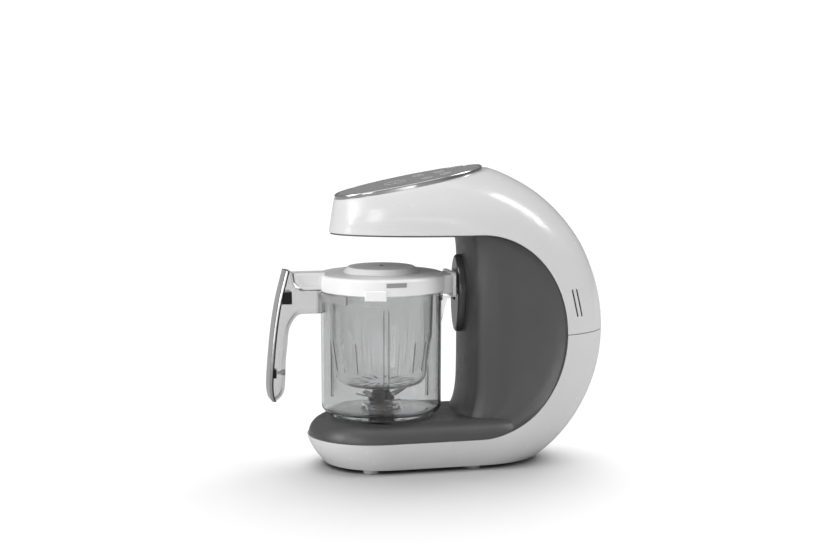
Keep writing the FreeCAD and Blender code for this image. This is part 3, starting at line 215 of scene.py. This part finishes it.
def make_materials():
    """Every finish by name. The values come in surface()'s order after its name."""
    metal = {"Metallic": 1.0}
    clear = {"Transmission_Weight": 1.0, "Coat_Weight": 1.0, "Coat_IOR": 1.5}
    rows = {
        "shell_white": ((grey(0.62), 0.24, 0.006, 700, 0.05, 0.00003),
                        {"Coat_Weight": 0.25, "Coat_Roughness": 0.08}),
        "cover_grey": ((grey(0.066), 0.38, 0.03, 2600, 0.30, 0.00006), {}),
        "boss_gloss": ((grey(0.045), 0.18, 0.03, 900, 0.1, 0.00004),
                       {"Coat_Weight": 0.6, "Coat_Roughness": 0.06}),
        "trim_chrome": ((grey(0.50), 0.12, 0.02, 1500, 0.04, 0.00002), metal),
        "chrome": ((grey(0.55), 0.13, 0.02, 1500, 0.04, 0.00002), metal),
        "fascia_grey": ((grey(0.32), 0.27, 0.015, 3000, 0.06, 0.00002),
                        {"gloss_vary": 0.04, "Metallic": 0.25, "Coat_Weight": 0.6, "Coat_Roughness": 0.12}),
        "circuit_board": (((0.03, 0.16, 0.06), 0.4, 0.35, 900, 0.5, 0.0001), {}),
        "base_black": ((grey(0.035), 0.55, 0.08, 2200, 0.35, 0.00008), {}),
        "foot_rubber": ((grey(0.34), 0.72, 0.12, 1800, 0.4, 0.00008), {}),
        "steel": ((grey(0.6), 0.28, 0.05, 500, 0.25, 0.00003, (1, 1, 9)), metal),
        "blade_steel": ((grey(0.26), 0.22, 0.04, 420, 0.3, 0.00003, (1, 7, 1)), metal),
        "bronze": (((0.48, 0.31, 0.14), 0.38, 0.12, 2600, 0.4, 0.00005), metal),
        "nylon_black": ((grey(0.008), 0.5, 0.10, 1500, 0.25, 0.00005), {"Specular_IOR_Level": 0.3}),
        "boiler_alloy": ((grey(0.62), 0.46, 0.05, 1400, 0.5, 0.0001), metal),
        "silicone": (((0.74, 0.74, 0.72), 0.5, 0.03, 900, 0.1, 0.00005),
                     {"Transmission_Weight": 0.25, "IOR": 1.41}),
        "steam_outlet_plastic": ((grey(0.16), 0.4, 0.06, 1500, 0.2, 0.00005), {}),
        "jar_clear": ((grey(0.67, 0.004), 0.03, 0.01, 60, 0.01, 0.00003),
                      {"IOR": 1.2, "Coat_Roughness": 0.03, **clear}),
        "bead_smoke": ((grey(0.10), 0.2, 0.05, 900, 0.05, 0.00003), {}),
        "key_print": ((grey(0.66), 0.35, 0.03, 1800, 0.05, 0.00002), {}),
        # dark grey of the disc over the lid's vent hole: painted shade of the hole
        "vent_shade_grey": ((grey(0.16), 0.5, 0.06, 1500, 0.15, 0.00004), {}),
        "basket_clear": ((grey(0.95), 0.06, 0.01, 60, 0.01, 0.00003),
                         {"IOR": 1.15, "Coat_Roughness": 0.06, **clear}),
        "handle_smoke": ((grey(0.63), 0.2, 0.03, 500, 0.05, 0.00004),
                         {"Transmission_Weight": 0.75, "IOR": 1.4}),
        "lid_milky": ((grey(0.78), 0.3, 0.004, 400, 0.01, 0.00003),
                      {"gloss_vary": 0.04, "Subsurface_Weight": 0.4, "Subsurface_Scale": 0.004,
                       "Subsurface_Radius": (1, 1, 1)}),
        "marker_grey": ((grey(0.27), 0.45, 0.05, 1500, 0.2, 0.00004), {}),
        "tank_clear": ((grey(0.62, 0.02), 0.12, 0.02, 500, 0.08, 0.00005),
                       {"Transmission_Weight": 0.85, "IOR": 1.5}),
    }
    return {name: surface(name, *values, **sockets) for name, (values, sockets) in rows.items()}


def dress_nodes(materials):
    for subpart in frame["record"]["subparts"]:
        name = subpart["node"]
        piece = frame["nodes"][name]
        piece.data.materials.clear()
        piece.data.materials.append(materials[OWN_FINISH.get(name, subpart["material_slot"])])


def soften_edges():
    for name, width in SOFT_EDGES.items():
        piece = frame["nodes"][name]
        weld = piece.modifiers.new("joined", "WELD")
        weld.merge_threshold = WELD_DISTANCE
        bevel = piece.modifiers.new("soft edges", "BEVEL")
        bevel.width = width * MM
        bevel.segments = SOFT_SEGMENTS
        bevel.limit_method = "ANGLE"
        bevel.angle_limit = SHARP_ANGLE
        bevel.use_clamp_overlap = True
        weighted = piece.modifiers.new("even shading", "WEIGHTED_NORMAL")
        weighted.weight = FLAT_FACE_WEIGHT
        weighted.keep_sharp = False
        for face in piece.data.polygons:
            face.use_smooth = True


# ---- room, light and camera ----
def make_floor():
    """Pale floor, darker in reflections than to the eye or through clear pieces."""
    half = FLOOR_HALF
    mesh = bpy.data.meshes.new("floor")
    mesh.from_pydata([(-half, -half, 0), (half, -half, 0), (half, half, 0), (-half, half, 0)], [],
                     [(0, 1, 2, 3)])
    floor = bpy.data.objects.new("floor", mesh)
    bpy.context.scene.collection.objects.link(floor)
    paint = surface("floor_paint", grey(FLOOR_TONE), 0.7, 0.004, 60, 0.02, 0.0002)
    tree = paint.node_tree
    shader = tree.nodes["Principled BSDF"]
    tone = shader.inputs["Base Color"].links[0].from_socket
    path = tree.nodes.new("ShaderNodeLightPath")
    mirrored = tree.nodes.new("ShaderNodeMix")
    mirrored.data_type = "RGBA"
    mirrored.inputs["B"].default_value = (*grey(FLOOR_MIRRORED), 1)
    only_mirrored = tree.nodes.new("ShaderNodeMath")
    only_mirrored.operation = "SUBTRACT"
    only_mirrored.use_clamp = True
    tree.links.new(path.outputs["Is Glossy Ray"], only_mirrored.inputs[0])
    tree.links.new(path.outputs["Is Transmission Ray"], only_mirrored.inputs[1])
    tree.links.new(only_mirrored.outputs["Value"], mirrored.inputs["Factor"])
    tree.links.new(tone, mirrored.inputs["A"])
    tree.links.new(mirrored.outputs["Result"], shader.inputs["Base Color"])
    mesh.materials.append(paint)
    return floor


def make_world():
    """Pale studio surround: white behind the object, a softer light on it, brighter overhead."""
    world = bpy.data.worlds.new("studio")
    bpy.context.scene.world = world
    world.use_nodes = True
    tree = world.node_tree
    backdrop = tree.nodes["Background"]
    backdrop.inputs["Color"].default_value = (1, 1, 1, 1)
    backdrop.inputs["Strength"].default_value = BACKDROP
    place = tree.nodes.new("ShaderNodeTexCoord")
    split = tree.nodes.new("ShaderNodeSeparateXYZ")
    ramp = tree.nodes.new("ShaderNodeValToRGB")
    ramp.color_ramp.elements[0].position = 0.0
    ramp.color_ramp.elements[0].color = (*grey(WORLD_LOW), 1)
    ramp.color_ramp.elements[1].position = WORLD_HIGH_AT
    ramp.color_ramp.elements[1].color = (*grey(WORLD_HIGH), 1)
    surround = tree.nodes.new("ShaderNodeBackground")
    path = tree.nodes.new("ShaderNodeLightPath")
    seen = tree.nodes.new("ShaderNodeMixShader")
    tree.links.new(place.outputs["Generated"], split.inputs["Vector"])
    tree.links.new(split.outputs["Z"], ramp.inputs["Fac"])
    tree.links.new(ramp.outputs["Color"], surround.inputs["Color"])
    through = tree.nodes.new("ShaderNodeMath")
    through.operation = "MAXIMUM"
    tree.links.new(path.outputs["Is Camera Ray"], through.inputs[0])
    tree.links.new(path.outputs["Is Transmission Ray"], through.inputs[1])
    tree.links.new(through.outputs["Value"], seen.inputs["Fac"])
    tree.links.new(surround.outputs["Background"], seen.inputs[1])
    tree.links.new(backdrop.outputs["Background"], seen.inputs[2])
    tree.links.new(seen.outputs["Shader"], tree.nodes["World Output"].inputs["Surface"])


def link_light(lamp, floor, state):
    """Light the floor only (INCLUDE) or everything but the floor (EXCLUDE)."""
    group = bpy.data.collections.new(lamp.name + "_receives")
    group.objects.link(floor)
    lamp.light_linking.receiver_collection = group
    group.collection_objects[0].light_linking.link_state = state


def soft_box(name, place, target, size, power):
    """Rectangular lamp facing a target."""
    light = bpy.data.lights.new(name, "AREA")
    light.shape = "RECTANGLE"
    light.size, light.size_y = size
    light.energy = power
    lamp = bpy.data.objects.new(name, light)
    lamp.location = place
    lamp.rotation_euler = (target - place).to_track_quat("-Z", "Y").to_euler()
    bpy.context.scene.collection.objects.link(lamp)
    return lamp


def floor_light(floor):
    """Wide, slightly tilted light from above for the floor alone, which stays white round a soft shadow."""
    light = bpy.data.lights.new("floor_light", "SUN")
    light.energy = FLOOR_SUN
    light.angle = math.radians(FLOOR_SUN_ANGLE)
    lamp = bpy.data.objects.new("floor_light", light)
    lamp.rotation_euler = [math.radians(tilt) for tilt in FLOOR_SUN_TILT] + [0]
    bpy.context.scene.collection.objects.link(lamp)
    link_light(lamp, floor, "INCLUDE")


def make_lights(floor):
    floor_light(floor)
    centre = (cad_low + cad_high) / 2
    for name, place, size, power in SOFT_BOXES:
        lamp = soft_box(name, centre + Vector(place), centre, size, power)
        link_light(lamp, floor, "EXCLUDE")


def make_camera():
    axis = middle("blade_shaft")
    out = Vector((math.sin(CAMERA_AZIMUTH), -math.cos(CAMERA_AZIMUTH), 0))
    side = Vector((math.cos(CAMERA_AZIMUTH), math.sin(CAMERA_AZIMUTH), 0))
    level = -out * math.cos(CAMERA_YAW) + side * math.sin(CAMERA_YAW)
    heading = level * math.cos(CAMERA_PITCH) - Vector((0, 0, math.sin(CAMERA_PITCH)))
    data = bpy.data.cameras.new("camera")
    data.sensor_width = CAMERA_SENSOR
    data.lens = CAMERA_LENS
    data.clip_end = CAMERA_SEES_TO
    camera = bpy.data.objects.new("camera", data)
    camera.location = Vector((axis.x, axis.y, 0)) + out * CAMERA_DISTANCE + Vector((0, 0, CAMERA_HEIGHT))
    camera.rotation_euler = heading.to_track_quat("-Z", "Y").to_euler()
    bpy.context.scene.collection.objects.link(camera)
    bpy.context.scene.camera = camera
    bpy.context.scene.view_settings.view_transform = "Standard"


# ---- small details ----
def add_piece(mesh_data, name, material, body):
    """Make an object from a bmesh and let it ride on a body."""
    mesh = bpy.data.meshes.new(name)
    mesh_data.to_mesh(mesh)
    mesh_data.free()
    for face in mesh.polygons:
        face.use_smooth = True
    mesh.materials.append(material)
    piece = bpy.data.objects.new(name, mesh)
    bpy.context.scene.collection.objects.link(piece)
    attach(piece, body)


def make_beads(material):
    """Two fine moulded beads down the jar's near side, from below its collar to its floor."""
    low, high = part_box("jar")
    axis = middle("blade_shaft")
    wall_r = (high.x - low.x) / 2 - COLLAR_PROUD * MM
    for number, bearing in enumerate(BEAD_BEARINGS):
        beads = bmesh.new()
        turn = math.radians(bearing)
        out = Vector((math.sin(turn), -math.cos(turn), 0))
        side = Vector((math.cos(turn), math.sin(turn), 0))
        rings = []
        for step in range(BEAD_LEVELS + 1):
            share = step / BEAD_LEVELS
            z = BEAD_LOW_Z + share * (BEAD_HIGH_Z - BEAD_LOW_Z)
            end = math.sqrt(max(0.0, min(1.0, share * BEAD_TAPER, (1 - share) * BEAD_TAPER)))
            foot_r = wall_r - (BEAD_SUNK_LOW - WALL_TAPER * share) * MM
            ring = []
            for corner in range(BEAD_ARC + 1):
                around = math.pi * corner / BEAD_ARC
                place = (axis + out * (foot_r + BEAD_RISE * MM * end * math.sin(around))
                         + side * BEAD_HALF_W * MM * end * math.cos(around))
                ring.append(beads.verts.new((place.x, place.y, z)))
            rings.append(ring)
        for below, above in zip(rings, rings[1:]):
            for corner in range(BEAD_ARC):
                beads.faces.new((below[corner], below[corner + 1], above[corner + 1], above[corner]))
            beads.faces.new((below[-1], below[0], above[0], above[-1]))
        beads.faces.new(rings[0])
        beads.faces.new(list(reversed(rings[-1])))
        bmesh.ops.recalc_face_normals(beads, faces=beads.faces)
        add_piece(beads, "jar_bead_%d" % (number + 1), material, "jar")


def circle(radius, height, count):
    """Corners of a level circle about the origin."""
    turns = [2 * math.pi * k / count for k in range(count)]
    return [Vector((radius * math.cos(turn), radius * math.sin(turn), height)) for turn in turns]


def raised_ring(name, centre, normal, inner, outer, rise, material, body,
                count=RING_SIDES):
    """Thin raised ring, or a disc when inner is 0, lying on a surface."""
    ring = bmesh.new()
    upright = normal.to_track_quat("Z", "Y").to_matrix()
    bevel = rise * 0.5
    profile = [(outer, -rise), (outer, rise - bevel), (outer - bevel, rise)]
    if inner:
        profile += [(inner + bevel, rise), (inner, rise - bevel), (inner, -rise)]
    loops = []
    for radius, height in profile:
        loops.append([ring.verts.new(centre + upright @ corner) for corner in circle(radius, height, count)])
    for below, above in zip(loops, loops[1:] + (loops[:1] if inner else [])):
        for k in range(count):
            following = (k + 1) % count
            ring.faces.new((below[k], below[following], above[following], above[k]))
    if not inner:
        ring.faces.new(loops[-1])
        ring.faces.new(list(reversed(loops[0])))
    bmesh.ops.recalc_face_normals(ring, faces=ring.faces)
    add_piece(ring, name, material, body)


def on_top(node, x, y):
    """Point and normal on a node's upper surface."""
    _, place, normal, _ = frame["nodes"][node].ray_cast(Vector((x, y, 1)), Vector((0, 0, -1)))
    return place, normal


def make_key_rings(material):
    """Plain touch keys on the panel: one large ring and four small ones, each with a dot and no sign."""
    centre = middle("panel_fascia")
    for number, (x, y, radius) in enumerate(KEYS):
        place, normal = on_top("panel_fascia", centre.x + x, centre.y + y)
        raised_ring("key_ring_%d" % (number + 1), place, normal, (radius - KEY_LINE_W) * MM, radius * MM,
                    KEY_RISE * MM, material, "stand")
        raised_ring("key_dot_%d" % (number + 1), place, normal, 0, KEY_DOT_R * MM, KEY_RISE * MM,
                    material, "stand", KEY_DOT_SIDES)


def make_vent_shade_disc(material):
    """Small raised disc over the lid's vent hole, dark grey as painted shade of the hole."""
    axis = middle("blade_shaft")
    place, _ = on_top("lid", axis.x + BESIDE_VENT * MM, axis.y)
    raised_ring("lid_vent_shade_disc", Vector((axis.x, axis.y, place.z)), Vector((0, 0, 1)), 0, VENT_DISC_R * MM,
                VENT_DISC_RISE * MM, material, "lid", VENT_DISC_SIDES)


materials = make_materials()
dress_nodes(materials)
soften_edges()
make_beads(materials["bead_smoke"])
make_key_rings(materials["key_print"])
make_vent_shade_disc(materials["vent_shade_grey"])
make_world()
make_lights(make_floor())
make_camera()
